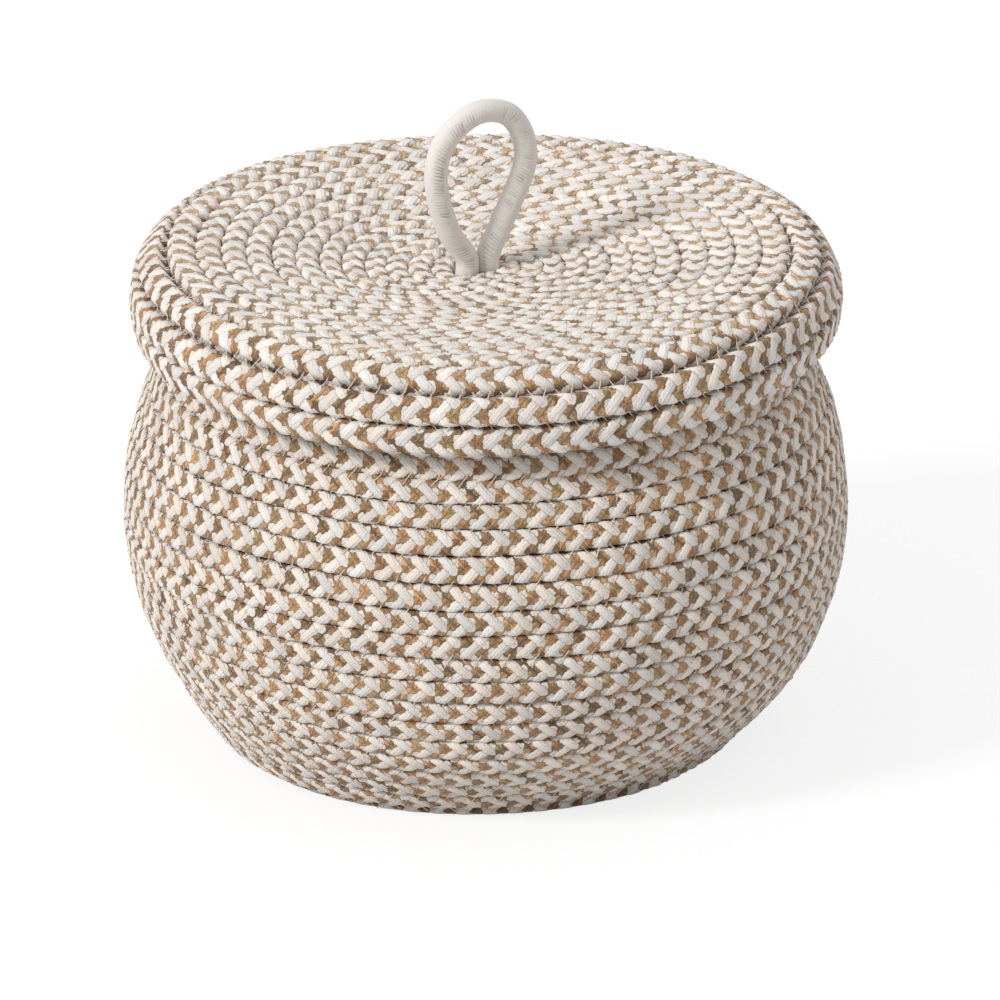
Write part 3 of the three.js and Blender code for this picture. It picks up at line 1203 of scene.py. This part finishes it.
@dataclass(frozen=True)
class BraidedCoil:
    """A rope wound along its way, with its braid in the mesh."""

    rope: Rope
    winding: Winding
    facing: tuple[tuple[float, float], ...]  # turns, and the column that faces outwards there
    seed: int
    narrowing: tuple[float, float] = (0.0, 0.0)  # of the dark strands, first and further on
    narrowing_change: tuple[float, float] = (0.0, 1.0)  # rope lengths between which that changes
    turning: float = 0.8  # columns that the rope turns about itself, to and fro
    turning_waves: tuple[float, float] = (500.0, 2400.0)  # shortest and longest of its waves
    thin_ends: float = 14.0  # length over which each end of the rope thins out
    thinnest: float = 0.15  # share of its thickness that is left at the ends
    sway: float = 0.16  # how far its middle wanders along the profile
    sway_out: float = 0.24  # how far it wanders outwards
    swelling: float = 0.018  # how much its thickness varies
    waves: tuple[float, float] = (45.0, 260.0)  # shortest and longest wave of these three
    seam_start: float = 0.7  # sine of the angle from straight outwards where its mark begins

    def build(self, name: str, start: float, stop: float,
              material: bpy.types.Material) -> bpy.types.Object:
        """Builds one stretch.

        Args:
            name: the piece's name.
            start: profile length where it starts.
            stop: profile length where it stops.
            material: its finish.

        Returns:
            The piece.
        """
        rope = self.rope
        sample = rope.row / rope.samples
        first, last = (round(float(self.winding.run_at(np.array(length))) / sample)
                       for length in (start, stop))
        low = round((self.facing[0][1] - rope.columns / 2) * rope.samples)
        column, row = np.meshgrid(
            np.arange(low, low + rope.columns * rope.samples + 1) / rope.samples,
            np.arange(first, last + 1) / rope.samples, indexing="ij")
        leaning = (row - column) / 2
        rising = (row + column) / 2
        height = rope.height(leaning, rising)
        further = smooth_step(row * rope.row, *self.narrowing_change)
        narrowing = self.narrowing[0] * (1 - further) + self.narrowing[1] * further
        true_lean, true_rise = (strand - narrowing * np.sin(np.pi * strand)
                                for strand in (leaning, rising))
        points, seams = self._points(true_lean + true_rise, true_rise - true_lean, height)
        places = np.stack([row, column], axis=-1)
        tube = Tube(points, places, Diagonals.CROSSED, (first, low), seams)
        return tube.build(name, material)

    def _points(self, row: Array, column: Array, height: Array) -> tuple[Array, Array]:
        """Places the points of the braid.

        Args:
            row: rows along the rope.
            column: columns round it.
            height: of the strand on top, from 0 to 1.

        Returns:
            The points, and how close each lies to the seams with the neighbouring courses.
        """
        rope, winding = self.rope, self.winding
        run = row * rope.row
        swelling, aside, outward = (
            Unevenness(self.seed + k, *self.waves).at(run) for k in range(3))
        roll = Unevenness(self.seed + 9, *self.turning_waves).at(run) * self.turning
        stop = winding.stop_at(run)
        facing = np.interp(winding.pace.turn(stop), *zip(*self.facing))
        turn = (column - facing - roll) * (TURN / rope.columns)
        radius = rope.crease + (rope.crown - rope.crease) * height
        radius = radius * (1 + self.swelling * swelling) * self._thinning(run)
        power = rope.squareness
        radius /= (np.abs(np.sin(turn)) ** power + np.abs(np.cos(turn)) ** power) ** (1 / power)
        width = radius * winding.spacing(stop) / rope.room
        along = width * np.sin(turn) + self.sway * aside
        out = radius * np.cos(turn) + self.sway_out * outward
        seams = smooth_step(np.abs(np.sin(turn)), self.seam_start, 1.0)
        return winding.place(stop, along, out), seams

    def _thinning(self, run: Array) -> Array:
        """Gives the share of its thickness that the rope has near its two ends."""
        near = np.minimum(run, self.winding.total - run) / self.thin_ends
        return self.thinnest + (1 - self.thinnest) * np.sqrt(near.clip(0, 1))


class Side(Enum):
    """The two sides of a coiled wall."""

    OUTSIDE = 1
    INSIDE = -1


@dataclass(frozen=True)
class Stitching:
    """The zigzag of sewing thread that joins each course to the next."""

    winding: Winding
    seed: int
    period: float = 7.8  # seam length of one zigzag
    reach: float = 2.5  # how far each stitch goes to both sides of the seam
    rise_share: float = 0.4  # of the period, for the stitch that leads on
    thickness: float = 0.4
    dive_level: float = 3.1  # height above the profile where the thread goes into the rope
    lead_levels: tuple[float, float] = (3.95, 3.4)  # over the rope and over the seam, leading on
    back_levels: tuple[float, float] = (3.75, 3.1)  # the same, leading back
    brow: tuple[float, float] = (0.14, 0.74)  # shares of run and reach where a stitch lies highest
    sinking: float = 0.2  # how deep stitches lie between the yarns, at random
    hiding: float = 0.35  # how much deeper the stitches that lead back lie
    uneven_reach: float = 0.1  # how far points stray at random, as a share of the reach
    uneven_run: float = 0.2  # how far they stray along the seam
    uneven_level: float = 0.06  # how far they stray in height
    sides: int = 4

    def build(self, name: str, start: float, stop: float, side: Side,
              material: bpy.types.Material) -> bpy.types.Object:
        """Builds the thread along the seams of a stretch.

        Args:
            name: the piece's name.
            start: profile length of the lower course where the seam starts.
            stop: profile length of the lower course where it stops.
            side: of the coil.
            material: its finish.

        Returns:
            The piece.
        """
        seam = self.winding.run_at(np.array([start, stop]))
        count = int((seam[1] - seam[0]) / self.period)
        draw = np.random.default_rng(self.seed)
        shares, across, out = self._zigzag()
        run = (np.arange(count)[:, None] + shares).ravel() * self.period + seam[0]
        uneven = 1 + draw.normal(0, self.uneven_reach, (count, len(shares)))
        across = (across * uneven).ravel() * self.reach
        run = run + draw.normal(0, self.uneven_run, run.size)
        sunk = np.repeat(draw.normal(0, self.sinking, count), len(shares))
        out = np.tile(out, count) + draw.normal(0, self.uneven_level, run.size) - np.abs(sunk)
        stops = self.winding.stop_at(run)
        out -= self.hiding * np.tile(shares > self.rise_share, count)
        path = self.winding.place(
            stops, 0.0, out * side.value, ahead=self.winding.beside(stops, 1) / 2 + across)
        path[:, 2] = np.maximum(path[:, 2], self.thickness)
        way = self.winding.outward(stops) * side.value
        rows = np.arange(run.size, dtype=float) * 2
        radius = np.full(run.size, self.thickness / 2)
        return tube_round(path, radius, way, self.sides, rows, 1.0).build(name, material)

    def _zigzag(self) -> tuple[Array, Array, Array]:
        """Gives one period of the thread, a stitch that leads on and one that leads back.

        Returns:
            Shares of the period, places across the seam and heights, point by point.
        """
        brow, wide = self.brow
        points = []
        for start, length, near, (high, low) in (
                (0.0, self.rise_share, -1.0, self.lead_levels),
                (self.rise_share, 1 - self.rise_share, 1.0, self.back_levels)):
            points += [
                (start, near, self.dive_level), (start + length * brow, near * wide, high),
                (start + length / 2, 0.0, low), (start + length * (1 - brow), -near * wide, high),
            ]
        shares, across, out = np.array(points).T
        return shares, across, out


# The object's pieces

LEGS_ANGLE = math.radians(30)  # of the plane of the loop's two legs, round the axis
LEGS_LEAN = -2.8  # how far along that plane the middle between them is from the axis


@dataclass
class Basket:
    """The open basket: one rope coiled from the middle of the floor up to the mouth."""

    finishes: Finishes
    rope: Rope = field(default_factory=Rope)
    floor_level: float = 2.92  # height of the rope's middle in the floor
    inner_end: float = 3.7  # radius where the rope's first end lies in the floor
    floor_start: float = 7.25  # radius where the CAD's floor coil starts
    floor_lift: float = 2.5  # how far up the flank the floor's coil ends
    stretches: tuple[tuple[float, float], ...] = ((11, 7.0), (12, 7.73))  # turns and pitches
    cuts: tuple[int, int] = (7, 13)  # turns up the wall where the CAD's coil is parted
    corner_radius: float = 75.05  # where the floor's profile ends
    flank_angle: float = math.radians(50)  # how steeply the flank starts there
    flank_reach: float = 22.0  # how far that direction draws the flank's curve
    belly_radius: float = 101.55
    belly_height: float = 66.0
    belly_reach: float = 22.0  # how far the belly draws the flank's curve upright
    shoulder_reach: float = 34.0  # how far it draws the shoulder's curve upright
    neck_radius: float = 88.85
    neck_start: float = 122.0
    neck_reach: float = 12.0  # how far the neck draws the shoulder's curve upright
    mouth_level: float = 136.35
    facing: tuple[tuple[float, float], ...] = ((8.3, 2.0), (9.3, 1.1), (14.3, 1.2), (15.3, 2.0))
    first_stitch: float = 4.0  # profile length from the floor's middle end to its first stitch
    last_floor_turn: float = -0.5  # where the floor's threads stop and the wall's start

    def profile(self) -> Profile:
        """Lays out the way along the floor, up the flank to the belly and on to the mouth.

        Returns:
            The rope's profile.
        """
        corner = (self.corner_radius, self.floor_level)
        belly = (self.belly_radius, self.belly_height)
        neck = (self.neck_radius, self.neck_start)
        flank = (corner[0] + self.flank_reach * math.cos(self.flank_angle),
                 corner[1] + self.flank_reach * math.sin(self.flank_angle))
        return Profile(
            bezier((self.inner_end, self.floor_level), corner),
            bezier(corner, flank, (belly[0], belly[1] - self.belly_reach), belly),
            bezier(belly, (belly[0], belly[1] + self.shoulder_reach),
                   (neck[0], neck[1] - self.neck_reach), neck),
            bezier(neck, (neck[0], self.mouth_level)),
            lead=self.floor_start - self.inner_end,
        )

    def build(self) -> list[bpy.types.Object]:
        """Builds the rope's stretches and the threads, and rides them on the basket.

        Returns:
            The pieces.
        """
        profile = self.profile()
        anchor = self.corner_radius - self.floor_start + self.floor_lift
        pace = Pace(anchor, *self.stretches)
        winding = Winding(profile, pace, profile.begin, profile.end)
        coil = BraidedCoil(self.rope, winding, self.facing, seed=11)
        stitching = Stitching(winding, seed=31)
        edges = [profile.begin, *(float(pace.length(turn)) for turn in (0, *self.cuts)), profile.end]
        pieces = []
        for name, start, stop in zip(("floor", "flank", "belly", "neck"), edges, edges[1:]):
            piece = coil.build(f"{name}_rope", start, stop, self.finishes.basket_rope)
            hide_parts(f"{name}_coil")
            pieces.append(piece)
        low_seam = float(pace.length(self.last_floor_turn))
        last_seam = float(pace.length(pace.turn(profile.end) - 1))
        for name, side in (("outside", Side.OUTSIDE), ("inside", Side.INSIDE)):
            for part, start, stop in (("floor", profile.begin + self.first_stitch, low_seam),
                                      ("wall", low_seam, last_seam)):
                pieces.append(stitching.build(
                    f"{part}_thread_{name}", start, stop, side, self.finishes.thread))
        for piece in pieces:
            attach(piece, "basket")
        return pieces


@dataclass
class Lid:
    """The lift-off lid: one rope coiled from the rim's hem up over the shoulder to the middle."""

    finishes: Finishes
    rope: Rope = field(default_factory=lambda: Rope(row=1.97, squareness=7.0, waist=0.32))
    hem: tuple[float, float] = (98.0, 125.45)
    rim_radius: float = 98.95
    rim_level: float = 133.05
    shoulder: tuple[float, float] = (88.95, 144.05)
    shoulder_round: float = 6.3  # how far the rim and the top draw the shoulder's curve
    dish_reach: float = 20.0  # how far the shoulder draws the dish's curve level
    flat_radius: float = 40.0  # radius out to which the middle draws it level
    middle_level: float = 136.85
    middle_radius: float = 10.115  # where the coil ends, round the hole and behind the legs
    stretches: tuple[tuple[float, float], ...] = ((4, 7.85), (8, 7.45), (9, 6.05))
    rim_turns: int = 3
    narrowing: tuple[float, float] = (0.02, 0.1)  # of the dark strands, on the rim and on top
    narrowing_turns: tuple[float, float] = (3.0, 5.5)  # turns between which that changes
    first_stitch: float = 3.0  # profile length where the threads start
    hem_yarn: tuple[float, float] = (-3.75, 1.7)  # along and outward from the hem's middle
    hem_yarn_start: float = 0.1  # profile length where it starts
    hem_yarn_radius: float = 0.45
    hem_yarn_ply: float = 2.0  # length from one of its plies to the next
    hem_yarn_rings: int = 420
    hem_yarn_sides: int = 6
    leg_room: float = 3.4  # how much closer the rope lies beside the two legs than at their ends
    leg_turns: float = 7.0  # courses over which that evens out
    run_out: float = 1.0  # how much further the profile goes than the rope
    jog: tuple[float, float] = (0.7, 1.0)  # turns before its end where the rope moves inwards
    lean_radii: tuple[float, float] = (12.0, 84.0)  # where the courses follow them and where not
    facing: tuple[tuple[float, float], ...] = ((0.0, 4.1), (1.5, 3.6), (3.0, 3.9))

    def profile(self) -> Profile:
        """Lays out the way up the rim, over the shoulder and in to the middle.

        Returns:
            The rope's profile.
        """
        top = (self.rim_radius, self.rim_level)
        middle = (self.middle_radius, self.middle_level)
        return Profile(
            bezier(self.hem, (self.rim_radius, (self.hem[1] + self.rim_level) / 2), top),
            bezier(top, (top[0], top[1] + self.shoulder_round),
                   (self.shoulder[0] + self.shoulder_round, self.shoulder[1]), self.shoulder),
            bezier(self.shoulder, (self.shoulder[0] - self.dish_reach, self.shoulder[1]),
                   (self.flat_radius, self.middle_level), middle),
            bezier(middle, (middle[0] - self.leg_room - self.run_out, self.middle_level)),
        )

    def build(self) -> list[bpy.types.Object]:
        """Builds the rope's stretches, the hem's yarn and the threads, and rides them on the lid.

        Returns:
            The pieces.
        """
        profile = self.profile()
        pace = Pace(0.0, *self.stretches)
        end = profile.end - self.leg_room - self.run_out
        end_turn = float(pace.turn(end))
        rim = float(pace.length(self.rim_turns))
        last_pitch = self.stretches[-1][1]

        def beside_legs(stop: Array, angle: Array) -> Array:
            """Moves the last courses in, so that they lie round the two legs.

            Args:
                stop: profile length of the way.
                angle: round the axis.

            Returns:
                How far they move along the profile.
            """
            turns = end_turn - pace.turn(stop)
            nearness = (1 - turns / self.leg_turns).clip(0, 1)
            jog = turns % 1 - smooth_step(turns % 1, *self.jog)
            room = self.leg_room * np.sin(angle - LEGS_ANGLE) ** 2
            return (room + jog * last_pitch) * nearness

        winding = Winding(profile, pace, 0.0, end, shift=beside_legs, give_way=self._follow_legs)
        change = (float(winding.run_at(pace.length(turn))) for turn in self.narrowing_turns)
        coil = BraidedCoil(self.rope, winding, self.facing, seed=51, narrowing=self.narrowing,
                           narrowing_change=tuple(change))
        stitching = Stitching(winding, seed=71, hiding=0.6, sinking=0.4)
        pieces = []
        for node, name, start, stop in (("lid_rim_coil", "rim_rope", 0.0, rim),
                                        ("lid_top_coil", "lid_rope", rim, end)):
            piece = coil.build(name, start, stop, self.finishes.lid_rope)
            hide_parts(node)
            pieces.append(piece)
        pieces.append(self._hem_yarn(winding, float(pace.length(1.0))))
        for name, side in (("outside", Side.OUTSIDE), ("inside", Side.INSIDE)):
            pieces.append(stitching.build(
                f"lid_thread_{name}", self.first_stitch, float(pace.length(end_turn - 1)), side,
                self.finishes.thread))
        for piece in pieces:
            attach(piece, "lid")
        return pieces

    def _hem_yarn(self, winding: Winding, end: float) -> bpy.types.Object:
        """Builds the plain yarn that runs along the hem's lower edge.

        Args:
            winding: the lid's way.
            end: profile length where the hem's course has gone round once.

        Returns:
            The piece.
        """
        stops = np.linspace(self.hem_yarn_start, end, self.hem_yarn_rings)
        path = winding.place(stops, *self.hem_yarn)
        rows = winding.run_at(stops) / self.hem_yarn_ply
        radius = np.full(stops.size, self.hem_yarn_radius)
        way = winding.outward(stops)
        tube = tube_round(path, radius, way, self.hem_yarn_sides, rows, 1.0)
        return tube.build("hem_yarn", self.finishes.thread)

    def _follow_legs(self, points: Array) -> Array:
        """Moves the inner courses to where the two legs stand.

        Args:
            points: any points of the lid.

        Returns:
            The points.
        """
        inner, outer = self.lean_radii
        radius = np.hypot(points[..., 0], points[..., 1])
        lean = LEGS_LEAN * ((outer - radius) / (outer - inner)).clip(0, 1)
        result = points.copy()
        result[..., 0] += lean * math.cos(LEGS_ANGLE)
        result[..., 1] += lean * math.sin(LEGS_ANGLE)
        return result


@dataclass
class Handle:
    """The cord loop that the lid is lifted by, and the knot that holds it below the lid."""

    finishes: Finishes
    cord_radius: float = 3.4
    lid_level: float = 140.5  # height that the loop's points are counted from
    leg: float = 3.42  # from the middle between the legs to each one's middle, in the hole
    leg_above: float = 3.6  # the same above the lid
    sides: int = 32
    swelling: float = 0.012  # how much the cord's thickness varies
    waves: tuple[float, float] = (9.0, 40.0)  # shortest and longest wave of that
    seed: int = 91
    rib: float = 0.95  # length of cord from rib to rib
    band_turns: tuple[float, float] = (0.41, 0.55)  # where round the cord the ribbed band lies
    band_change: tuple[float, float] = (0.25, 0.5)  # shares of the length between which it moves
    knot_top: float = 132.9
    knot_height: float = 11.0
    knot_radius: float = 12.5
    knot_tightness: float = 0.86  # share of its thickness that the cord keeps in the knot
    knot_swing: float = 0.3  # how far the cord swings in and out, as a share of its reach
    knot_band: float = 0.5  # where round the cord the ribbed band lies
    knot_rings: int = 420
    knot_sides: int = 24

    def build(self) -> list[bpy.types.Object]:
        """Builds the loop and the knot, and rides the knot on the lid.

        Returns:
            The pieces.
        """
        loop = self._loop()
        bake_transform(loop)
        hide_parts("handle_loop")
        knot = self._knot()
        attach(knot, "lid")
        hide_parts("handle_knot")
        return [loop, knot]

    def _loop(self) -> bpy.types.Object:
        """Builds the loop, its legs down in the lid's hole.

        Returns:
            The piece.
        """
        route = smooth_route([
            (0.6 * LEGS_LEAN + self.leg, -9.0), (LEGS_LEAN + self.leg, -2.0),
            (LEGS_LEAN + self.leg_above, 3.7), (4.97, 12.0), (13.3, 32.0), (8.15, 44.5),
            (-2.2, 47.4), (-12.85, 41.2), (-16.43, 31.0), (-12.25, 13.0),
            (LEGS_LEAN - self.leg_above, 3.7), (LEGS_LEAN - self.leg, -2.0),
            (0.6 * LEGS_LEAN - self.leg, -9.0),
        ], step=0.3)
        across, up = route.T
        path = np.stack([across * math.cos(LEGS_ANGLE), across * math.sin(LEGS_ANGLE),
                         up + self.lid_level], axis=-1)
        square = np.array([-math.sin(LEGS_ANGLE), math.cos(LEGS_ANGLE), 0.0])
        run = lengths_along(path)
        swelling = self.swelling * Unevenness(self.seed, *self.waves).at(run)
        radius = self.cord_radius * (1 + swelling)
        band = np.interp(run / run[-1], self.band_change, self.band_turns)
        way = np.tile(square, (len(path), 1))
        tube = tube_round(path, radius, way, self.sides, run / self.rib, 1.0)
        tube.places[..., 1] -= band
        return tube.build("loop_cord", self.finishes.cord)

    def _knot(self) -> bpy.types.Object:
        """Builds the knot, a tight overhand of the same cord.

        It goes twice round the axis while it swings in and out, and up and down, three times.

        Returns:
            The piece.
        """
        radius = self.cord_radius * self.knot_tightness
        furthest = self.knot_radius - radius
        turn = np.linspace(0, TURN, self.knot_rings)
        swing = furthest * self.knot_swing
        reach = furthest - swing + swing * np.cos(3 * turn)
        level = self.knot_top - self.knot_height / 2
        lift = (self.knot_height / 2 - radius) * np.sin(3 * turn)
        path = np.stack([reach * np.cos(2 * turn), reach * np.sin(2 * turn), level + lift], axis=-1)
        run = lengths_along(path)
        up = np.tile(np.array([0.0, 0.0, 1.0]), (len(path), 1))
        radii = np.full(len(path), radius)
        tube = tube_round(path, radii, up, self.knot_sides, run / self.rib, 1.0)
        tube.places[..., 1] -= self.knot_band
        return tube.build("knot_cord", self.finishes.cord)


def lengths_along(path: Array) -> Array:
    """Gives the length along a path at each of its points."""
    return np.concatenate([[0], np.cumsum(np.linalg.norm(np.diff(path, axis=0), axis=1))])


def smooth_route(corners: Sequence[tuple[float, float]], step: float,
                 dense_steps: int = 80) -> Array:
    """Draws a smooth curve through points, as the CAD model does.

    Args:
        corners: the points.
        step: distance between the samples.
        dense_steps: how many finer steps lead from one point to the next before that.

    Returns:
        The samples.
    """
    points = np.array(corners, float)
    points = np.vstack([2 * points[0] - points[1], points, 2 * points[-1] - points[-2]])
    dense = []
    for p0, p1, p2, p3 in zip(points, points[1:], points[2:], points[3:]):
        knots = np.cumsum([0, *(np.linalg.norm(b - a) ** 0.5
                                for a, b in ((p0, p1), (p1, p2), (p2, p3)))])
        t = np.linspace(knots[1], knots[2], dense_steps, endpoint=False)[:, None]

        def between(a: Array, b: Array, low: float, high: float) -> Array:
            """Leads from one point to another between two knots."""
            return a * (high - t) / (high - low) + b * (t - low) / (high - low)

        a1, a2, a3 = (between(p, q, knots[k], knots[k + 1])
                      for k, (p, q) in enumerate(((p0, p1), (p1, p2), (p2, p3))))
        b1, b2 = between(a1, a2, knots[0], knots[2]), between(a2, a3, knots[1], knots[3])
        dense.append(between(b1, b2, knots[1], knots[2]))
    dense = np.vstack([*dense, points[-2]])
    run = lengths_along(dense)
    at = np.linspace(0, run[-1], round(run[-1] / step) + 1)
    return np.stack([np.interp(at, run, dense[:, k]) for k in (0, 1)], axis=-1)


# The studio


@dataclass(frozen=True)
class Studio:
    """A pale floor, a key light from the left, soft light from all around, and the camera."""

    key_from: tuple[float, float] = (-0.834, -0.552)  # level direction that the key comes from
    key_height: float = math.radians(35)  # of the key above level
    key_strength: float = 2.2
    key_spread: float = math.radians(11)
    ambient_above: float = 0.79
    ambient_below: float = 0.44
    ambient_top: float = 0.8  # sine of the height from which on all the light is that from above
    floor_reach: float = 8.0  # metres from the floor's middle to its edge
    floor_level: float = -0.3
    floor_grey: float = 0.8  # where light bounces off it
    floor_seen_grey: float = 0.2  # where the camera sees it, with the glow added
    floor_glow: float = 0.8
    camera_height: float = math.radians(22)  # of the view above level
    camera_distance: float = 2300.0
    pixels_per_mm: float = 3.43
    picture: float = 1000.0  # its width in pixels
    sensor: float = 36.0
    aim_height: float = 70.0  # of the aim point, on the axis
    aim_pixels: tuple[float, float] = (14.0, -6.6)  # of the picture's middle, from the aim point

    def build(self) -> None:
        """Sets up the scene around the object."""
        bpy.context.scene.view_settings.view_transform = "Standard"
        self._floor()
        self._world()
        self._key()
        self._camera()

    def _floor(self) -> None:
        """Lays a floor that looks nearly white and keeps a faint shadow."""
        mesh = bpy.data.meshes.new("floor")
        grid = bmesh.new()
        bmesh.ops.create_grid(grid, x_segments=1, y_segments=1, size=self.floor_reach)
        bmesh.ops.translate(grid, verts=grid.verts, vec=(0, 0, self.floor_level * MM))
        grid.to_mesh(mesh)
        grid.free()
        floor = bpy.data.objects.new("studio_floor", mesh)
        bpy.context.scene.collection.objects.link(floor)
        floor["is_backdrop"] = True
        material = bpy.data.materials.new("studio floor")
        material.use_nodes = True
        graph = Graph(material.node_tree)
        graph.tree.nodes.clear()
        pale, shadow = (graph.node("ShaderNodeBsdfDiffuse") for _ in range(2))
        for shader, grey in ((pale, self.floor_grey), (shadow, self.floor_seen_grey)):
            shader.inputs["Color"].default_value = (grey, grey, grey, 1)
        glow = graph.node("ShaderNodeEmission")
        glow.inputs["Strength"].default_value = self.floor_glow
        seen = graph.node("ShaderNodeAddShader")
        graph.put(seen.inputs[0], shadow.outputs[0])
        graph.put(seen.inputs[1], glow.outputs[0])
        choice = graph.node("ShaderNodeMixShader")
        graph.put(choice.inputs[0], graph.node("ShaderNodeLightPath").outputs["Is Camera Ray"])
        graph.put(choice.inputs[1], pale.outputs[0])
        graph.put(choice.inputs[2], seen.outputs[0])
        graph.put(graph.node("ShaderNodeOutputMaterial").inputs["Surface"], choice.outputs[0])
        mesh.materials.append(material)

    def _world(self) -> None:
        """Makes even light from all around, and a white background."""
        world = bpy.data.worlds.new("studio")
        bpy.context.scene.world = world
        world.use_nodes = True
        graph = Graph(world.node_tree)
        back = world.node_tree.nodes["Background"]
        back.inputs["Color"].default_value = (1, 1, 1, 1)
        rays = graph.node("ShaderNodeLightPath")
        plain = Formula(graph, rays.outputs["Is Camera Ray"])
        for kind in ("Is Glossy Ray", "Is Transmission Ray"):
            plain = graph.math("MAXIMUM", plain, Formula(graph, rays.outputs[kind]))
        height = graph.split(graph.node("ShaderNodeTexCoord").outputs["Generated"])[2]
        soft = height.ramp(0.0, self.ambient_top) * (self.ambient_above - self.ambient_below)
        graph.put(back.inputs["Strength"], plain.choose(1.0, soft + self.ambient_below))

    def _key(self) -> None:
        """Hangs the key light."""
        lamp = bpy.data.lights.new("key", "SUN")
        lamp.energy = self.key_strength
        lamp.angle = self.key_spread
        key = bpy.data.objects.new("key", lamp)
        bpy.context.scene.collection.objects.link(key)
        bearing = math.atan2(self.key_from[1], self.key_from[0])
        key.rotation_euler = (math.pi / 2 - self.key_height, 0, bearing + math.pi / 2)

    def _camera(self) -> None:
        """Puts the camera at the photograph's angle, with the object where it stands there."""
        data = bpy.data.cameras.new("camera")
        data.sensor_width = self.sensor
        data.lens = self.pixels_per_mm * self.camera_distance / self.picture * self.sensor
        camera = bpy.data.objects.new("camera", data)
        bpy.context.scene.collection.objects.link(camera)
        right, up = (pixels / self.pixels_per_mm for pixels in self.aim_pixels)
        tilt = self.camera_height
        ahead = np.array([0, math.cos(tilt), -math.sin(tilt)])
        upward = np.array([0, math.sin(tilt), math.cos(tilt)])
        aim = np.array([right, 0, self.aim_height]) + upward * up
        camera.location = (aim - ahead * self.camera_distance) * MM
        camera.rotation_euler = (math.pi / 2 - tilt, 0, 0)
        bpy.context.scene.camera = camera


def write_sizes(cad: Sequence, visual: Sequence) -> None:
    """Puts the CAD model's box and the visual model's box into JSON text, which is not kept.

    Args:
        cad: lowest and highest corners of the CAD model.
        visual: the same of the visual model.
    """
    def plain(box: Sequence) -> list[list[float]]:
        """Turns a box into plain lists of numbers."""
        return [[float(number) for number in corner] for corner in box]

    json.dumps({"cad": plain(cad), "visual": plain(visual)})


def main() -> None:
    """Builds the object's pieces around the CAD frame, and the studio."""
    logging.basicConfig(level=logging.INFO, format="%(message)s")
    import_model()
    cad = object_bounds()
    finishes = Finishes()
    for maker in (Basket(finishes), Lid(finishes), Handle(finishes)):
        for piece in maker.build():
            log.info("%s done", piece.name)
    Studio().build()
    write_sizes(cad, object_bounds())


if __name__ == "__main__":
    main()
